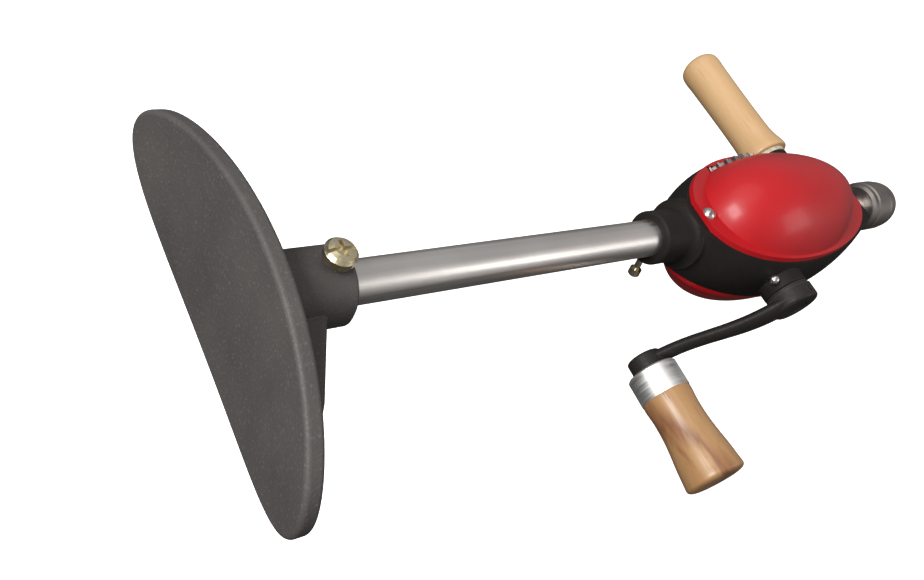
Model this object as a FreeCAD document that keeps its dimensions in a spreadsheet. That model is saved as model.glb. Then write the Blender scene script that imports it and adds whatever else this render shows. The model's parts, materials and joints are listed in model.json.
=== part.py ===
import FreeCAD, Part
import math
import os

import Sketcher

# A hand-crank breast drill with an enclosed gear case, in millimetres.
# +X runs along the spindle to the chuck, +Y towards the side handle, +Z up.
# The origin is on the spindle axis at the mouth of the chuck's jaws.
# Every piece is drawn about the point where the crank axle crosses the spindle
# axis, and its Placement carries it back from the origin by axle_to_mouth.

SIZES = {
    # whole drill
    "axle_to_mouth": 129.5,
    "running_gap": 0.04,
    "seat_gap": 0.05,
    "loose_gap": 0.4,
    # breast plate
    "plate_half_length": 75.8,
    "plate_half_width": 34.0,
    "plate_thickness": 6.0,
    "plate_drop": 2.4,
    "plate_curve_radius": 333.0,
    "plate_edge_round": 1.6,
    "hub_radius": 14.0,
    "hub_height": 32.0,
    "hub_flare": 11.0,
    "hub_rim_round": 1.5,
    "lower_rib_reach": 67.0,
    "lower_rib_shoulder": 8.0,
    "upper_rib_reach": 32.0,
    "upper_rib_shoulder": 5.0,
    "rib_setback": 11.0,
    "rib_thickness": 9.0,
    "tube_in_plate": 30.0,
    "plate_screw_setback": 7.0,
    # tube
    "tube_radius": 8.0,
    "tube_wall": 1.5,
    "tube_exposed": 153.5,
    "tube_in_case": 22.0,
    # screws
    "clamp_screw_radius": 3.0,
    "clamp_head_radius": 5.8,
    "clamp_head_height": 4.2,
    "washer_thickness": 1.2,
    "set_screw_radius": 1.5,
    "set_screw_reach": 21.0,
    "set_screw_head_radius": 2.7,
    "set_screw_head_height": 3.6,
    "set_screw_inset": 3.4,
    "set_screw_angle": 165.0,
    "cover_screw_radius": 2.0,
    "cover_head_radius": 3.2,
    "cover_head_height": 2.2,
    "cover_screw_length": 9.0,
    # gear case
    "case_centre_ahead": 12.0,
    "case_centre_aside": 1.7,
    "frame_rear_length": 61.5,
    "frame_front_length": 86.0,
    "frame_half_width": 34.3,
    "frame_half_height": 34.0,
    "frame_front_ahead": 83.0,
    "flange_rear_length": 57.5,
    "flange_front_length": 68.0,
    "flange_half_width": 31.6,
    "flange_half_height": 60.0,
    "dome_half_width": 31.6,
    "dome_centre_aside": 2.0,
    "upper_dome_height": 38.4,
    "lower_dome_height": 43.5,
    "band_half_height": 13.5,
    "hollow_rear_length": 50.0,
    "hollow_front_length": 66.0,
    "hollow_half_width": 27.6,
    "hollow_half_height": 60.0,
    "cover_wall": 2.2,
    "cover_joint_gap": 0.1,
    "cover_flange_height": 2.4,
    "cover_screw_behind": 40.2,
    "upper_dome_behind": 38.0,
    "lower_dome_behind": 34.0,
    "dome_front_ahead": 65.5,
    "socket_radius": 11.8,
    "socket_behind": 65.5,
    "socket_flare": 4.0,
    "nose_radius": 13.0,
    "nose_ahead": 86.0,
    "crank_boss_radius": 10.5,
    "crank_boss_reach": 39.5,
    "crank_boss_flare": 8.0,
    "boss_bevel": 0.8,
    "gear_boss_radius": 8.5,
    "axle_bore_depth": 27.4,
    "web_back_ahead": 34.0,
    "web_thickness": 8.0,
    # drive gear and pinion
    "gear_module": 1.38,
    "gear_face_width": 7.0,
    "gear_lip_share": 0.06,
    "gear_backlash": 0.36,
    "gear_clearance": 0.8,
    "gear_room_start": 6.0,
    "gear_rim_back": 23.0,
    "gear_hub_back": 19.7,
    "gear_web_thickness": 4.0,
    "gear_hub_radius": 9.5,
    "axle_radius": 5.0,
    "bush_wall": 1.5,
    "crank_bush_length": 14.0,
    "pin_radius": 1.5,
    "pinion_pin_radius": 1.2,
    # spindle
    "spindle_radius": 5.0,
    "spindle_rear_ahead": 19.5,
    "spindle_shoulder_radius": 8.0,
    "spindle_shoulder_length": 3.0,
    "spindle_neck_radius": 6.5,
    "pinion_back_ahead": 28.0,
    "thrust_race_radius": 9.0,
    "thrust_ball_radius": 1.5,
    "thrust_ball_circle": 7.2,
    "front_bush_length": 14.0,
    "chuck_thread_length": 8.5,
    # chuck
    "chuck_length": 27.5,
    "chuck_radius": 13.2,
    "chuck_core_radius": 11.4,
    "chuck_collar_radius": 12.4,
    "chuck_collar_length": 4.0,
    "chuck_spigot_radius": 9.0,
    "chuck_nose_length": 11.5,
    "chuck_nose_radius": 9.4,
    "chuck_bit_bore_radius": 4.0,
    "chuck_bit_bore_depth": 15.0,
    "jaw_lean": 10.0,
    "jaw_radius": 3.4,
    "jaw_offset": 4.5,
    "jaw_grip_radius": 3.0,
    "jaw_length": 15.0,
    "jaw_closing": 1.5,
    "jaw_back_travel": 2.5,
    "jaw_gap": 0.06,
    # crank
    "crank_throw": 71.7,
    "crank_hang": 135.1,
    "crank_hub_radius": 11.0,
    "crank_hub_depth": 7.4,
    "crank_eye_radius": 8.4,
    "crank_eye_depth": 7.2,
    "crank_eye_step": 7.6,
    "crank_waist": 5.6,
    "crank_arm_thickness": 6.2,
    "crank_washer_thickness": 1.4,
    "grip_washer_thickness": 0.6,
    "grip_pin_radius": 3.0,
    "grip_pin_collar_radius": 5.5,
    "grip_pin_collar_height": 1.8,
    "grip_pin_depth": 44.0,
    "grip_length": 57.0,
    "ferrule_length": 13.5,
    "ferrule_radius": 12.2,
    "ferrule_wall": 1.0,
    "grip_waist_radius": 11.5,
    "grip_end_radius": 14.3,
    "grip_end_round": 2.2,
    # side handle
    "handle_ahead": 57.4,
    "handle_boss_radius": 10.0,
    "handle_boss_reach": 36.0,
    "handle_length": 70.0,
    "handle_base_radius": 12.4,
    "handle_radius": 10.4,
    "handle_end_radius": 10.9,
    "handle_stud_radius": 4.0,
    "oiler_radius": 2.4,
}

GEAR_TEETH = 36
PINION_TEETH = 18
PRESSURE_ANGLE = math.radians(20.0)
BALL_COUNT = 8
JAW_COUNT = 3
FRAME_POWERS = (1.95, 1.55, 3.0)
HOLLOW_POWERS = (2.2, 1.9, 3.0)
FLANGE_POWERS = (2.2, 1.9, 3.2)
DOME_POWERS = (2.3, 1.95, 2.6)


class Size:
    """A number together with the spreadsheet formula that gives it."""

    def __init__(self, value, formula):
        self.value = float(value)
        self.formula = formula

    @staticmethod
    def of(other):
        return other if isinstance(other, Size) else Size(other, repr(float(other)))

    def join(self, other, sign, value):
        return Size(value, f"({self.formula} {sign} {Size.of(other).formula})")

    def __add__(self, other):
        return self.join(other, "+", self.value + Size.of(other).value)

    def __sub__(self, other):
        return self.join(other, "-", self.value - Size.of(other).value)

    def __mul__(self, other):
        return self.join(other, "*", self.value * Size.of(other).value)

    def __truediv__(self, other):
        return self.join(other, "/", self.value / Size.of(other).value)

    def __neg__(self):
        return Size(-self.value, f"(0 - {self.formula})")

    __radd__ = __add__

    def __rsub__(self, other):
        return Size.of(other) - self

    __rmul__ = __mul__


class Sheet:
    """The driving dimensions, each read as a Size by its alias."""

    def __init__(self, document, sizes):
        self.cells = document.addObject("Spreadsheet::Sheet", "Sizes")
        for row, (alias, value) in enumerate(sizes.items(), start=1):
            self.cells.set(f"A{row}", alias)
            self.cells.set(f"B{row}", str(value))
            self.cells.setAlias(f"B{row}", alias)
            setattr(self, alias, Size(value, f"Sizes.{alias}"))


doc = FreeCAD.newDocument("BreastDrill")
S = Sheet(doc, SIZES)
doc.recompute()

pieces = []


# ---------------------------------------------------------------- helpers

def vector(x, y, z):
    return FreeCAD.Vector(x, y, z)


def place(obj, x=0.0, y=0.0, z=0.0, axis=(0, 0, 1), angle=0.0):
    """Put a piece where it belongs, measured from the axle crossing."""
    turned_by = FreeCAD.Rotation(vector(*axis), angle) * obj.Placement.Rotation
    obj.Placement = FreeCAD.Placement(vector(0, 0, 0), turned_by)
    for name, size in (("x", Size.of(x) - S.axle_to_mouth), ("y", Size.of(y)), ("z", Size.of(z))):
        obj.setExpression(f"Placement.Base.{name}", size.formula)
    pieces.append(obj)
    return obj


def new_body(label):
    body = doc.addObject("PartDesign::Body", label)
    body.Label = label
    return body


def origin_plane(body, role):
    return next(plane for plane in body.Origin.OriginFeatures if plane.Role == role)


def new_sketch(body, role):
    sketch = body.newObject("Sketcher::SketchObject", f"{body.Name}_sketch")
    sketch.AttachmentSupport = [(origin_plane(body, role), "")]
    sketch.MapMode = "FlatFace"
    return sketch


def pin_point(sketch, geometry, end, x, y):
    """Hold one end of a sketch element at x, y by two driven dimensions."""
    for kind, size in (("DistanceX", Size.of(x)), ("DistanceY", Size.of(y))):
        index = sketch.addConstraint(Sketcher.Constraint(kind, -1, 1, geometry, end, size.value))
        sketch.setExpression(f"Constraints[{index}]", size.formula)


def draw_outline(sketch, points):
    """Close a polygon through the points, each an (x, y) pair of sizes."""
    corners = [vector(Size.of(x).value, Size.of(y).value, 0) for x, y in points]
    lines = []
    for start, end in zip(corners, corners[1:] + corners[:1]):
        lines.append(sketch.addGeometry(Part.LineSegment(start, end)))
    for line, following in zip(lines, lines[1:] + lines[:1]):
        sketch.addConstraint(Sketcher.Constraint("Coincident", line, 2, following, 1))
    for line, (x, y) in zip(lines, points):
        pin_point(sketch, line, 1, x, y)


def draw_circle(sketch, x, y, radius):
    x, y, radius = Size.of(x), Size.of(y), Size.of(radius)
    circle = Part.Circle(vector(x.value, y.value, 0), vector(0, 0, 1), radius.value)
    geometry = sketch.addGeometry(circle)
    pin_point(sketch, geometry, 3, x, y)
    index = sketch.addConstraint(Sketcher.Constraint("Radius", geometry, radius.value))
    sketch.setExpression(f"Constraints[{index}]", radius.formula)


def pocket(body, sketch, length):
    """Cut the sketch's area, half the length to each side of its plane."""
    doc.recompute()
    before = body.Shape.Volume
    feature = body.newObject("PartDesign::Pocket", f"{body.Name}_pocket")
    feature.Profile = sketch
    feature.Midplane = True
    feature.setExpression("Length", Size.of(length).formula)
    doc.recompute()
    if body.Shape.Volume >= before:
        raise RuntimeError(f"a pocket in {body.Label} cut nothing")
    return feature


def turn(body, axis, points, feature_type="PartDesign::Revolution"):
    """Turn a profile of (along, radius) pairs about the X, Y or Z axis."""
    role = "XZ_Plane" if axis == "Z" else "XY_Plane"
    sketch = new_sketch(body, role)
    swapped = axis != "X"
    draw_outline(sketch, [(r, a) if swapped else (a, r) for a, r in points])
    feature = body.newObject(feature_type, f"{body.Name}_turned")
    feature.Profile = sketch
    feature.ReferenceAxis = (sketch, ["V_Axis" if swapped else "H_Axis"])
    feature.Angle = 360
    return feature


def turned(label, axis, points):
    body = new_body(label)
    turn(body, axis, points)
    return body


def ring_profile(start, end, inner, outer):
    return [(start, inner), (end, inner), (end, outer), (start, outer)]


def rod_profile(start, end, radius, bevel=0.0):
    if not bevel:
        return ring_profile(start, end, 0, radius)
    return [(start, 0), (end, 0), (end, radius - bevel), (end - bevel, radius),
            (start + bevel, radius), (start, radius - bevel)]


def fixed_shape(label, shape):
    """A piece whose surface is lofted from the sheet's sizes by this script."""
    feature = doc.addObject("Part::Feature", label)
    feature.Label = label
    feature.Shape = shape
    return feature


def cylinder(start, direction, radius, length):
    return Part.makeCylinder(radius, length, start, direction)


# ---------------------------------------------------------------- breast plate and tube

hub_end = -(S.socket_behind + S.tube_exposed)
plate_back = hub_end - S.hub_height
plate_front = plate_back - S.plate_thickness


def build_plate_solid():
    """The plate's bent oval, its hub and its two ribs as one casting."""
    bend = S.plate_curve_radius.value
    front = plate_front.value
    thickness = S.plate_thickness.value
    half_length = S.plate_half_length.value
    half_width = S.plate_half_width.value
    hub = S.hub_radius.value
    flare = S.hub_flare.value
    end = hub_end.value
    back = plate_back.value

    tall = 3 * half_width
    centre = vector(front - bend, 0, -tall / 2)
    outer = cylinder(centre, vector(0, 0, 1), bend + thickness, tall)
    inner = cylinder(centre, vector(0, 0, 1), bend, tall)
    for bent in (outer, inner):
        bent.rotate(centre, vector(0, 0, 1), 180)
    oval = Part.Ellipse(vector(0, 0, 0), half_length, half_width).toShape()
    oval.rotate(vector(0, 0, 0), vector(0, 0, 1), 90)
    oval.rotate(vector(0, 0, 0), vector(0, 1, 0), 90)
    sag = half_length * half_length / bend
    oval.translate(vector(front - sag, 0, 0))
    oval.translate(vector(0, 0, -S.plate_drop.value))
    prism = Part.Face(Part.Wire(oval)).extrude(vector(thickness + 2 * sag, 0, 0))
    plate = prism.common(outer).cut(inner)
    rims = [edge for edge in plate.Edges if edge.Length > half_length]
    plate = plate.makeFillet(S.plate_edge_round.value, rims)

    middle = back - thickness / 2
    corner = vector(back + flare * 0.29 - 0.6, hub + flare * 0.29 - 0.6, 0)
    flare_arc = Part.Arc(vector(back - 0.6, hub + flare, 0), corner, vector(back + flare, hub, 0))
    rim = S.hub_rim_round.value
    outline = [
        Part.LineSegment(vector(middle, 0, 0), vector(middle, hub + flare, 0)).toShape(),
        Part.LineSegment(vector(middle, hub + flare, 0), vector(back - 0.6, hub + flare, 0)).toShape(),
        flare_arc.toShape(),
        Part.LineSegment(vector(back + flare, hub, 0), vector(end - rim, hub, 0)).toShape(),
        Part.LineSegment(vector(end - rim, hub, 0), vector(end, hub - rim, 0)).toShape(),
        Part.LineSegment(vector(end, hub - rim, 0), vector(end, 0, 0)).toShape(),
        Part.LineSegment(vector(end, 0, 0), vector(middle, 0, 0)).toShape(),
    ]
    hub_solid = Part.Face(Part.Wire(outline)).revolve(vector(0, 0, 0), vector(1, 0, 0), 360)
    casting = plate.fuse(hub_solid)

    upper = plate_rib(S.upper_rib_reach.value, S.upper_rib_shoulder.value)
    lower = plate_rib(S.lower_rib_reach.value, S.lower_rib_shoulder.value)
    casting = casting.fuse([upper, lower.mirror(vector(0, 0, 0), vector(0, 1, 0))]).removeSplitter()

    bore = S.tube_radius.value + S.seat_gap.value
    casting = casting.cut(cylinder(vector(end + 1, 0, 0), vector(-1, 0, 0), bore,
                                   S.tube_in_plate.value + 1))
    screw_x = end - S.plate_screw_setback.value
    return casting.cut(cylinder(vector(screw_x, 0, 0), vector(0, 0, 1),
                                S.clamp_screw_radius.value + S.seat_gap.value, 2 * hub))


def plate_rib(reach, shoulder):
    """A tapering rib from the hub's rim along the plate's back, towards +Y."""
    half_rib = S.rib_thickness.value / 2
    foot = plate_back.value - 0.4 * S.plate_thickness.value
    rim = hub_end.value - S.rib_setback.value
    bend = S.plate_curve_radius.value
    tail = plate_front.value - bend + math.sqrt((bend + S.plate_thickness.value) ** 2 - reach ** 2) - 1
    corners = [
        vector(rim, 0, -half_rib), vector(rim, S.hub_radius.value - 1, -half_rib),
        vector(plate_back.value + shoulder, 0.62 * reach, -half_rib), vector(tail, reach, -half_rib),
        vector(foot, 0, -half_rib), vector(rim, 0, -half_rib),
    ]
    rib = Part.Face(Part.makePolygon(corners)).extrude(vector(0, 0, 2 * half_rib))
    return rib.makeFillet(half_rib * 0.6, [edge for edge in rib.Edges if is_rib_crest(edge)])


def is_rib_crest(edge):
    """True for the long sloping edges that stand off the plate and hub."""
    ends = [v.Point for v in edge.Vertexes]
    flat = abs(ends[0].z - ends[-1].z) < 1e-6
    return flat and min(p.y for p in ends) > 1.0 and abs(ends[0].x - ends[-1].x) > 1.0


place(fixed_shape("breast_plate", build_plate_solid()))

# The clamp screw stands in the hub, its point on the tube and its head up.
screw_x = hub_end - S.plate_screw_setback
head_under = S.hub_radius + S.washer_thickness + 2.2


def pan_screw(label, radius, under_head, head_radius, head_height, tip, slot_depth):
    """A turned pan-head screw on the Z axis, with a cross and a long slot."""
    body = turned(label, "Z", [
        (tip, 0), (tip, radius * 0.7), (tip + radius * 0.3, radius), (under_head, radius),
        (under_head, head_radius), (under_head + head_height * 0.55, head_radius),
        (under_head + head_height * 0.86, head_radius * 0.82), (under_head + head_height, head_radius * 0.5),
        (under_head + head_height, 0),
    ])
    return body


def cut_recess(body, top, depth, long_half, short_half, half_width):
    """Cut a cross recess down into a screw head whose axis is Z."""
    for role, half_length in (("XZ_Plane", long_half), ("YZ_Plane", short_half)):
        sketch = new_sketch(body, role)
        draw_outline(sketch, [(-half_length, top - depth), (half_length, top - depth),
                              (half_length, top + 1), (-half_length, top + 1)])
        pocket(body, sketch, half_width * 2)


plate_screw = pan_screw("plate_screw", S.clamp_screw_radius, head_under, S.clamp_head_radius,
                        S.clamp_head_height, S.tube_radius, 1.6)
cut_recess(plate_screw, head_under + S.clamp_head_height, Size.of(1.7), S.clamp_head_radius + 0.5,
           S.clamp_head_radius * 0.55, Size.of(0.65))
place(plate_screw, x=screw_x)

place(turned("plate_screw_washer", "Z", ring_profile(
    head_under - S.washer_thickness, head_under,
    S.clamp_screw_radius + S.seat_gap, S.clamp_head_radius - 0.4)), x=screw_x)

tube_start = hub_end - S.tube_in_plate
tube_end = S.tube_in_case - S.socket_behind
place(turned("tube", "X", ring_profile(tube_start, tube_end, S.tube_radius - S.tube_wall, S.tube_radius)))


# ---------------------------------------------------------------- gear case

def rounded_station(position, power):
    """How wide an oval of that power is at a share of its half-length."""
    return (1.0 - abs(position) ** power) ** (1.0 / power)


def egg(centre_y, half_sizes, powers, shrink=0.0):
    """A closed egg lofted through upright ellipses that stand across the X axis."""
    rear_length, front_length, half_width, half_height = half_sizes
    rear_power, front_power, side_power = powers
    wires = []
    for step in range(-5, 6):
        share = math.sin(math.radians(step * 15.2))
        length, power = (rear_length, rear_power) if step < 0 else (front_length, front_power)
        wide = half_width * rounded_station(share, power) - shrink
        tall = half_height * rounded_station(share, side_power) - shrink
        wire = Part.Wire(Part.Ellipse(vector(0, 0, 0), max(wide, tall), min(wide, tall)).toShape())
        wire.rotate(vector(0, 0, 0), vector(0, 1, 0), 90)
        if wide > tall:
            wire.rotate(vector(0, 0, 0), vector(1, 0, 0), 90)
        wire.translate(vector(S.case_centre_ahead.value + (length - shrink) * share, centre_y, 0))
        wires.append(wire)
    return Part.makeLoft(wires, True, False)


def frame_outside():
    """The casting's outer egg, cut square at the front."""
    sizes = (S.frame_rear_length.value, S.frame_front_length.value,
             S.frame_half_width.value, S.frame_half_height.value)
    front = Part.makeBox(200, 200, 200, vector(S.frame_front_ahead.value - 200, -100, -100))
    return egg(-S.case_centre_aside.value, sizes, FRAME_POWERS).common(front)


def frame_hollow():
    """The egg-shaped room inside the casting, open above and below."""
    sizes = (S.hollow_rear_length.value, S.hollow_front_length.value,
             S.hollow_half_width.value, S.hollow_half_height.value)
    return egg(-S.case_centre_aside.value, sizes, HOLLOW_POWERS)


def slab(low, high):
    """A wide block between two heights."""
    reach = 400.0
    return Part.makeBox(reach, reach, high - low, vector(-reach / 2, -reach / 2, low))


def flared_boss(axis, foot, wall, end, radius, flare):
    """A round boss from foot to end along an axis, spreading by the flare at the wall."""
    reach = 1 if end > wall else -1
    bevel = S.boss_bevel.value
    wide = radius + flare
    arc_end = vector(wall + reach * flare, radius, 0)
    arc_middle = vector(wall + reach * flare * 0.29, radius + flare * 0.29, 0)
    arc = Part.Arc(vector(wall, wide, 0), arc_middle, arc_end)
    foot_side = [vector(foot, 0, 0), vector(foot, wide, 0), vector(wall, wide, 0)]
    end_side = [arc_end, vector(end - reach * bevel, radius, 0), vector(end, radius - bevel, 0),
                vector(end, 0, 0), vector(foot, 0, 0)]
    lines = list(zip(foot_side, foot_side[1:])) + list(zip(end_side, end_side[1:]))
    edges = [Part.LineSegment(start, finish).toShape() for start, finish in lines]
    edges.insert(2, arc.toShape())
    boss = Part.Face(Part.Wire(edges)).revolve(vector(0, 0, 0), vector(1, 0, 0), 360)
    if axis == "Y":
        boss.rotate(vector(0, 0, 0), vector(0, 0, 1), 90)
    return boss


def build_frame():
    """The black casting: a middle band, the tube socket, the bosses and a web."""
    band = S.band_half_height.value
    gap = S.seat_gap.value
    middle = slab(-band, band)
    handle_x = S.handle_ahead.value
    rear_wall = S.case_centre_ahead.value - S.frame_rear_length.value + 2
    socket = flared_boss("X", rear_wall + 6, rear_wall, -S.socket_behind.value,
                         S.socket_radius.value, S.socket_flare.value)
    nose = flared_boss("X", S.frame_front_ahead.value - 14, S.frame_front_ahead.value,
                       S.nose_ahead.value, S.nose_radius.value, 1.5)
    crank_boss = flared_boss("Y", S.crank_bush_length.value - S.crank_boss_reach.value, -28.0,
                             -S.crank_boss_reach.value, S.crank_boss_radius.value,
                             S.crank_boss_flare.value)
    handle_boss = flared_boss("Y", 16.0, 19.0, S.handle_boss_reach.value, S.handle_boss_radius.value, 6.0)
    handle_boss.translate(vector(handle_x, 0, 0))
    gear_boss = cylinder(vector(0, S.gear_hub_back.value + 0.3, 0), vector(0, 1, 0),
                         S.gear_boss_radius.value, S.axle_bore_depth.value - S.gear_hub_back.value)
    web_start = vector(S.web_back_ahead.value, 0, 0)
    web_bar = Part.makeBox(S.web_thickness.value, 2 * S.frame_half_width.value, 2 * band,
                           web_start - vector(0, S.frame_half_width.value, band))
    web = web_bar.common(frame_outside())

    casting = frame_outside().common(middle).cut(frame_hollow())
    casting = casting.cut(gear_room()).fuse([socket.common(middle), nose.common(middle), web, gear_boss,
                                             crank_boss.common(middle), handle_boss.common(middle)])
    tube_bore = S.tube_radius.value + gap
    axle_bore = S.axle_radius.value + S.bush_wall.value + gap
    spindle_bore = S.spindle_radius.value + S.bush_wall.value + gap
    handle_bore = S.handle_stud_radius.value + gap
    x_bores = [
        cylinder(vector(-S.socket_behind.value - 1, 0, 0), vector(1, 0, 0), tube_bore,
                 S.tube_in_case.value + 1),
        cylinder(vector(30, 0, 0), vector(1, 0, 0), spindle_bore, 80),
    ]
    y_bores = [
        cylinder(vector(0, -100, 0), vector(0, 1, 0), axle_bore, 100 + S.axle_bore_depth.value),
        cylinder(vector(handle_x, 100, 0), vector(0, -1, 0), handle_bore,
                 100 - S.handle_boss_reach.value + 16),
    ]
    return casting.cut(x_bores + y_bores + cover_screw_holes() + [set_screw_hole(), oiler_hole()])


def set_screw_hole():
    angle = math.radians(S.set_screw_angle.value)
    direction = vector(0, -math.sin(angle), math.cos(angle))
    return cylinder(vector(set_screw_x.value, 0, 0), direction,
                    S.set_screw_radius.value + S.seat_gap.value, 30)


def oiler_hole():
    return cylinder(oiler_seat, oiler_direction, S.oiler_radius.value + S.seat_gap.value, 20)


def cover_screw_holes():
    reach = S.cover_screw_length.value + 1
    radius = S.cover_screw_radius.value + S.seat_gap.value
    low = S.band_half_height.value + S.cover_flange_height.value - reach
    x, y = -S.cover_screw_behind.value, -S.case_centre_aside.value
    return [cylinder(vector(x, y, side * low), vector(0, 0, side), radius, reach) for side in (-1, 1)]


def gear_room():
    """The space the drive gear turns in, with a clearance all round it."""
    clear = S.gear_clearance.value
    radius = gear_tip_radius() + clear
    start = S.gear_room_start.value
    return cylinder(vector(0, start, 0), vector(0, 1, 0), radius, S.gear_rim_back.value - start + clear)


def gear_tip_radius():
    cone = math.atan2(GEAR_TEETH, PINION_TEETH)
    return S.gear_module.value * (GEAR_TEETH / 2 + 0.9 * math.cos(cone))


def build_cover(side, dome_height, dome_behind):
    """A pressed cover: a flat flange on the band and a dome over the gears."""
    low = S.band_half_height.value + S.cover_joint_gap.value
    flange_top = low + S.cover_flange_height.value
    middle = S.case_centre_ahead.value
    flange_sizes = (S.flange_rear_length.value, S.flange_front_length.value,
                    S.flange_half_width.value, S.flange_half_height.value)
    dome_sizes = (middle + dome_behind.value, S.dome_front_ahead.value - middle,
                  S.dome_half_width.value, dome_height.value)
    dome_y = -S.dome_centre_aside.value
    hollow = egg(dome_y, dome_sizes, DOME_POWERS, S.cover_wall.value).common(slab(low - 1, 100))
    foot = vector(-S.cover_screw_behind.value, -S.case_centre_aside.value, 0)

    flange = egg(foot.y, flange_sizes, FLANGE_POWERS).common(slab(low, flange_top)).cut(hollow)
    dome = egg(dome_y, dome_sizes, DOME_POWERS).common(slab(low, 100)).cut(hollow)
    shell = flange.fuse(dome).cut(gear_room())
    shell = shell.cut(cylinder(foot, vector(0, 0, 1), S.cover_screw_radius.value + S.seat_gap.value, 100))
    shell = shell.cut(cylinder(foot + vector(0, 0, flange_top), vector(0, 0, 1),
                               S.cover_head_radius.value + S.loose_gap.value, 100))
    shell = max(shell.Solids, key=lambda solid: solid.Volume)
    if side < 0:
        shell = shell.mirror(vector(0, 0, 0), vector(0, 0, 1))
    return shell


set_screw_x = S.set_screw_inset - S.socket_behind
oiler_seat = vector(-9.0, -33.0, 2.0)
oiler_direction = vector(-0.55, -0.35, 0.75)

place(fixed_shape("gearcase_frame", build_frame()))
place(fixed_shape("upper_cover", build_cover(1, S.upper_dome_height, S.upper_dome_behind)))
place(fixed_shape("lower_cover", build_cover(-1, S.lower_dome_height, S.lower_dome_behind)))

flange_height = S.band_half_height + S.cover_joint_gap + S.cover_flange_height


def build_cover_screws():
    """Two round-head slotted screws, one through each cover's flange."""
    top = flange_height.value
    radius = S.cover_screw_radius.value
    head = S.cover_head_radius.value
    height = S.cover_head_height.value
    foot = vector(-S.cover_screw_behind.value, -S.case_centre_aside.value, top)
    shank = cylinder(foot, vector(0, 0, -1), radius, S.cover_screw_length.value)
    ball_radius = (head * head + height * height) / (2 * height)
    ball = Part.makeSphere(ball_radius, foot + vector(0, 0, height - ball_radius))
    screw = shank.fuse(ball.common(cylinder(foot, vector(0, 0, 1), head, height)))
    slot = Part.makeBox(2 * head, 0.9, 2 * height, foot + vector(-head, -0.45, 0.45 * height))
    slot.rotate(foot, vector(0, 0, 1), 35)
    screw = screw.cut(slot)
    return Part.makeCompound([screw, screw.mirror(vector(0, 0, 0), vector(0, 0, 1))])


place(fixed_shape("cover_screws", build_cover_screws()))

# The set screw and the oiler are turned upright, then leaned into their holes.
head_end = S.set_screw_reach
head_start = head_end - S.set_screw_head_height
place(turned("tube_set_screw", "Z", [
    (S.tube_radius, 0), (S.tube_radius, S.set_screw_radius), (head_start, S.set_screw_radius),
    (head_start, S.set_screw_head_radius), (head_end - 0.6, S.set_screw_head_radius),
    (head_end, S.set_screw_head_radius - 0.6), (head_end, 0),
]), x=set_screw_x, axis=(1, 0, 0), angle=S.set_screw_angle.value)


def build_oiler():
    """A small domed oil cup pressed into the foot of the crank boss."""
    radius = S.oiler_radius.value
    stem = cylinder(oiler_seat, oiler_direction, radius, 5)
    tip = vector(*oiler_seat) + vector(*oiler_direction).normalize() * 5
    return stem.fuse(Part.makeSphere(radius, tip))


place(fixed_shape("boss_oiler", build_oiler()))


# ---------------------------------------------------------------- bevel gears

def tooth_section(teeth, mate_teeth):
    """The outline of one tooth on its back cone, round the +Z axis towards +X."""
    module = S.gear_module.value
    cone = math.atan2(teeth, mate_teeth)
    back_radius = module * teeth / 2 / math.cos(cone)
    apex = module * teeth / 2 / math.sin(cone) / math.cos(cone)
    base = back_radius * math.cos(PRESSURE_ANGLE)
    half_angle = (math.pi * module / 2 - S.gear_backlash.value) / 2 / back_radius
    involute_at_pitch = math.tan(PRESSURE_ANGLE) - PRESSURE_ANGLE
    low, high = back_radius - 1.45 * module, back_radius + 0.9 * module
    flank = []
    for step in range(6):
        radius = low + (high - low) * step / 5
        lean = math.acos(min(1.0, base / radius))
        angle = half_angle + involute_at_pitch - (math.tan(lean) - lean)
        flank.append((radius * math.cos(angle), radius * math.sin(angle)))
    outline = [(r, -t) for r, t in flank] + [(r, t) for r, t in reversed(flank)]
    return [vector(r * math.cos(cone), t, apex - r * math.sin(cone)) for r, t in outline]


def cone_distance():
    return S.gear_module.value * math.hypot(GEAR_TEETH, PINION_TEETH) / 2


def inner_share():
    """Where the teeth's small ends are, as a share of the cone distance."""
    return 1 - S.gear_face_width.value / cone_distance()


def root_point(teeth, mate_teeth):
    """The root of the tooth gap at the large end, as (height, radius)."""
    module = S.gear_module.value
    cone = math.atan2(teeth, mate_teeth)
    root = module * teeth / 2 / math.cos(cone) - 1.12 * module
    apex = module * teeth / 2 / math.sin(cone) / math.cos(cone)
    return apex - root * math.sin(cone), root * math.cos(cone)


def bevel_teeth(teeth, mate_teeth):
    outline = tooth_section(teeth, mate_teeth)
    outline.append(outline[0])
    large = Part.makePolygon(outline)
    small = Part.makePolygon([point * inner_share() for point in outline])
    tooth = Part.makeLoft([large, small], True, True)
    return [turned_copy(tooth, 360 * index / teeth) for index in range(teeth)]


def turned_copy(shape, angle):
    copy = shape.copy()
    copy.rotate(vector(0, 0, 0), vector(0, 0, 1), angle)
    return copy


def spin_profile(points):
    """Turn (height, radius) points about the Z axis into a solid."""
    corners = [vector(radius, 0, height) for height, radius in points]
    face = Part.Face(Part.makePolygon(corners + corners[:1]))
    return face.revolve(vector(0, 0, 0), vector(0, 0, 1), 360)


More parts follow.
